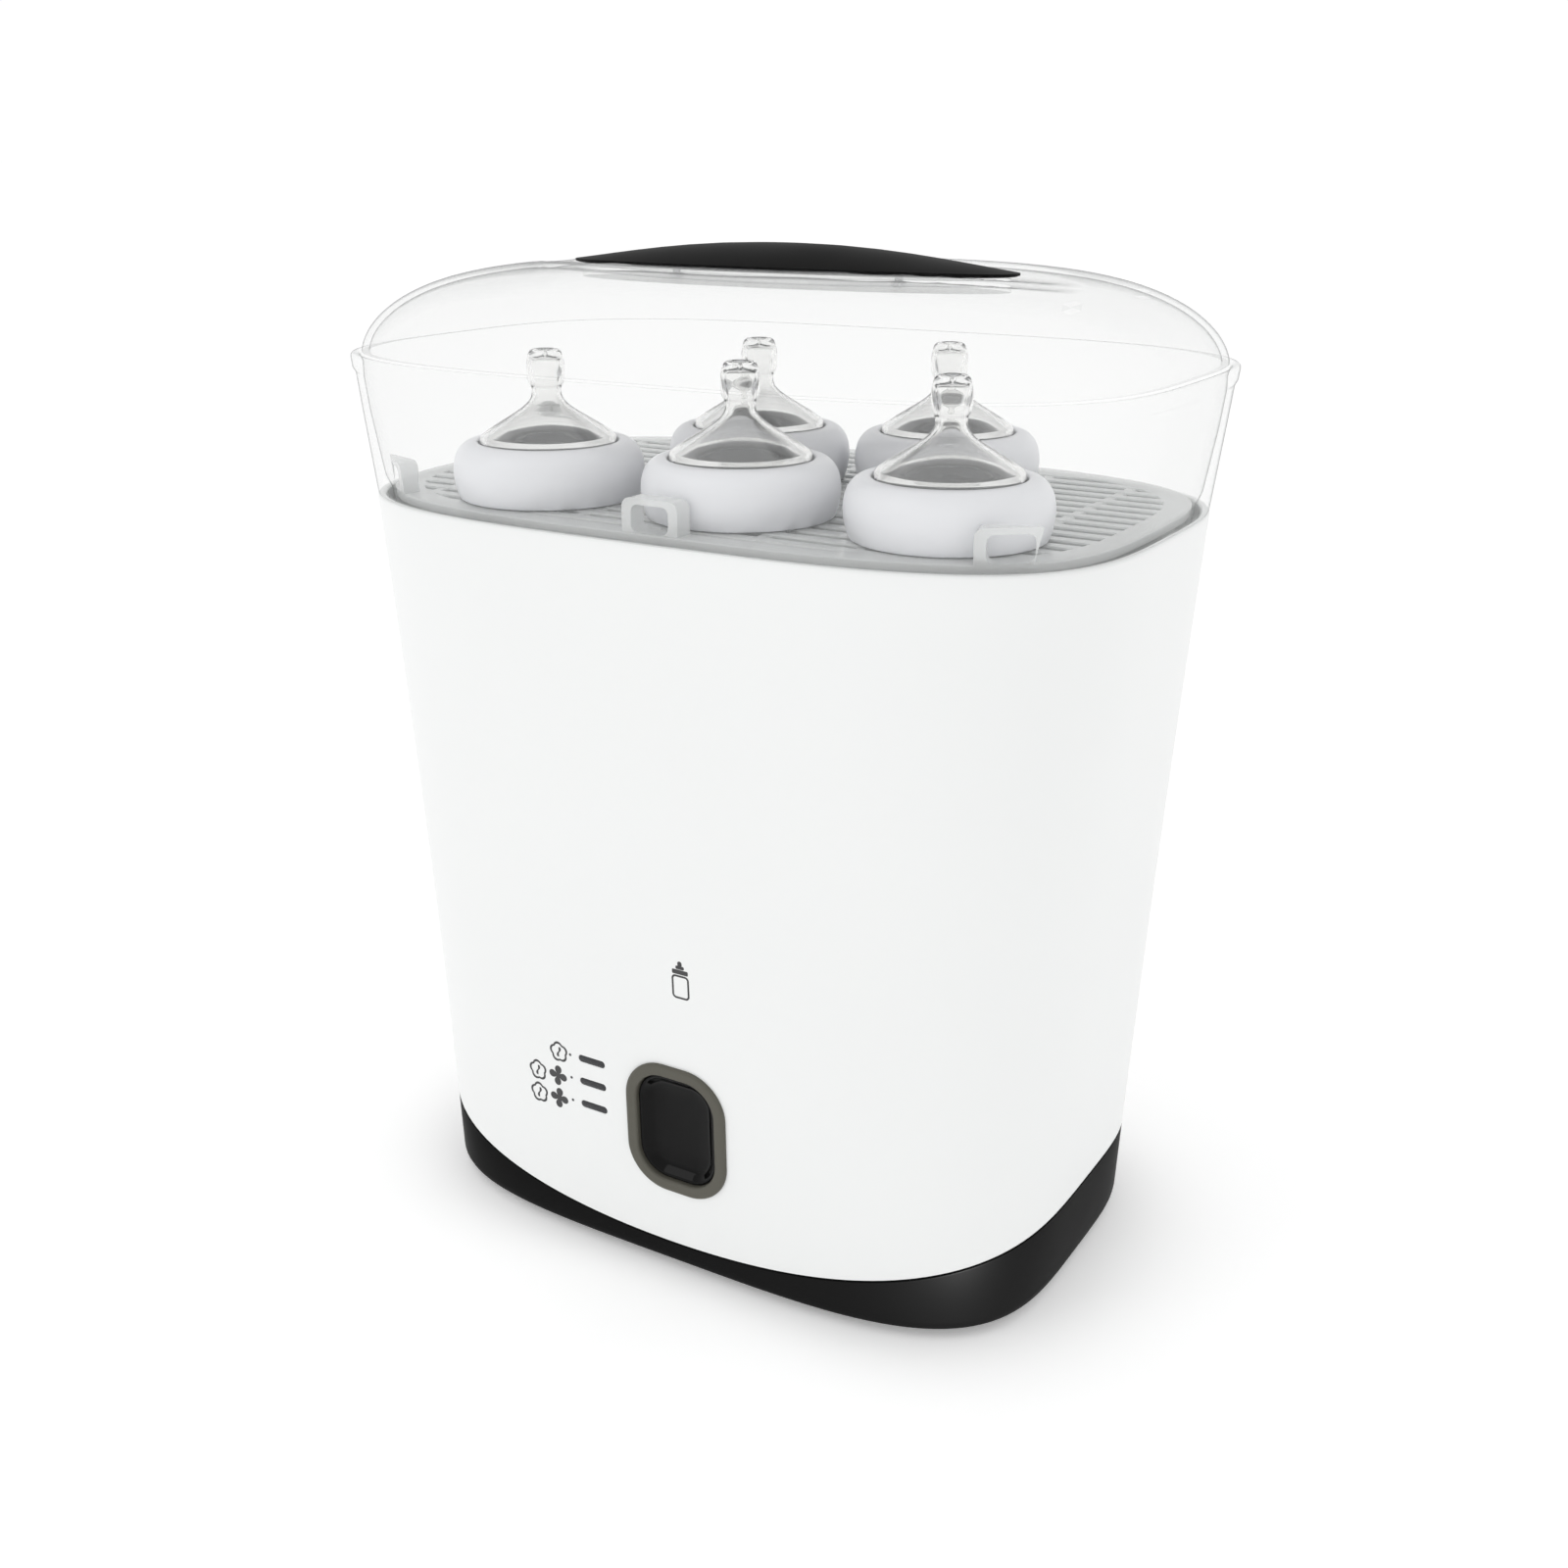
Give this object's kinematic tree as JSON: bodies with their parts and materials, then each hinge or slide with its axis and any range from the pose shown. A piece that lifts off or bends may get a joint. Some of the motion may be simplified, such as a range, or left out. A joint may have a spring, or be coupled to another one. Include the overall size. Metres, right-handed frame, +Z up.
{
  "type": "bottle sterilizer",
  "caption": "Electric steam sterilizer and dryer for baby bottles: white tapered housing on a dark base, clear tray of bottle tops and a clear domed lid with a black grip.",
  "frame": {"origin": "bottom centre, on the surface that it stands on", "axes": "+Z up, -Y towards the front with the button, +X to the right seen from the front"},
  "size_m": [0.2992, 0.2012, 0.357],
  "materials": {
    "white_plastic": "smooth white polypropylene, semi-gloss",
    "dark_plastic": "near-black moulded plastic with a soft sheen",
    "grey_plastic": "warm grey moulded plastic",
    "gloss_black": "high-gloss black",
    "grip_plastic": "matt black",
    "smoked_plastic": "dark smoked light bar",
    "clear_plastic": "clear moulded plastic",
    "clear_silicone": "clear silicone",
    "collar_plastic": "pale white polypropylene",
    "liner_plastic": "white polypropylene",
    "rubber": "black rubber",
    "silicone": "grey silicone",
    "steel": "stainless steel",
    "zinc_steel": "zinc-plated steel",
    "heat_plastic": "heat-resistant black plastic",
    "ceramic": "unglazed ceramic",
    "board_green": "printed circuit board",
    "filter_pad": "pleated air filter pad"
  },
  "bodies": {
    "root": {"base_cover": "dark_plastic", "foot_front_left": "rubber", "base_screw_front_left": "zinc_steel", "foot_front_right": "rubber", "base_screw_front_right": "zinc_steel", "foot_rear_left": "rubber", "base_screw_rear_left": "zinc_steel", "foot_rear_right": "rubber", "base_screw_rear_right": "zinc_steel", "housing": "white_plastic", "button_bezel": "grey_plastic", "button_switch": "heat_plastic", "display_board": "board_green", "light_pipe_bottom": "smoked_plastic", "light_pipe_middle": "smoked_plastic", "light_pipe_top": "smoked_plastic", "chamber_liner": "liner_plastic", "heating_plate": "steel", "plate_seal": "silicone", "heating_element": "zinc_steel", "thermostat": "zinc_steel", "thermal_fuse": "ceramic", "fan_motor": "zinc_steel", "fan_housing": "heat_plastic", "fan_cover": "heat_plastic", "air_heater": "ceramic", "air_duct": "heat_plastic", "power_inlet": "heat_plastic", "control_board": "board_green"},
    "button": {"control_button": "gloss_black"},
    "fan": {"fan_impeller": "heat_plastic"},
    "filter": {"filter_cover": "white_plastic", "air_filter": "filter_pad"},
    "rack": {"bottle_rack": "liner_plastic"},
    "tray": {"tray_wall": "clear_plastic", "tray_grid": "clear_plastic", "bottle_collar_1": "collar_plastic", "bottle_teat_1": "clear_silicone", "bottle_collar_2": "collar_plastic", "bottle_teat_2": "clear_silicone", "bottle_collar_3": "collar_plastic", "bottle_teat_3": "clear_silicone", "bottle_collar_4": "collar_plastic", "bottle_teat_4": "clear_silicone", "bottle_collar_5": "collar_plastic", "bottle_teat_5": "clear_silicone"},
    "lid": {"lid_dome": "clear_plastic", "handle_grip": "grip_plastic", "handle_screw_left": "zinc_steel", "handle_screw_right": "zinc_steel"}
  },
  "joints": [
    {"name": "button_press", "type": "slide", "parent": "root", "child": "button", "axis": [0, 1, 0], "range_m": [0, 0.0015], "stiffness_N_per_m": 800, "springref_m": -0.0005},
    {"name": "fan_spin", "type": "hinge", "parent": "root", "child": "fan", "pos_m": [-0.062, 0.024, 0.05], "axis": [0, 0, 1], "continuous": true},
    {"name": "filter_pull", "type": "slide", "parent": "root", "child": "filter", "axis": [0, 1, 0], "range_m": [0, 0.05]},
    {"name": "tray_lift", "type": "slide", "parent": "root", "child": "tray", "axis": [0, 0, 1], "range_m": [0, 0.3]},
    {"name": "rack_lift", "type": "slide", "parent": "root", "child": "rack", "axis": [0, 0, 1], "range_m": [0, 0.21]},
    {"name": "lid_lift", "type": "slide", "parent": "tray", "child": "lid", "axis": [0, 0, 1], "range_m": [0, 0.12]}
  ],
  "couplings": [
    {"joint": "rack_lift", "follows": "tray_lift", "ratio": 0.7}
  ]
}
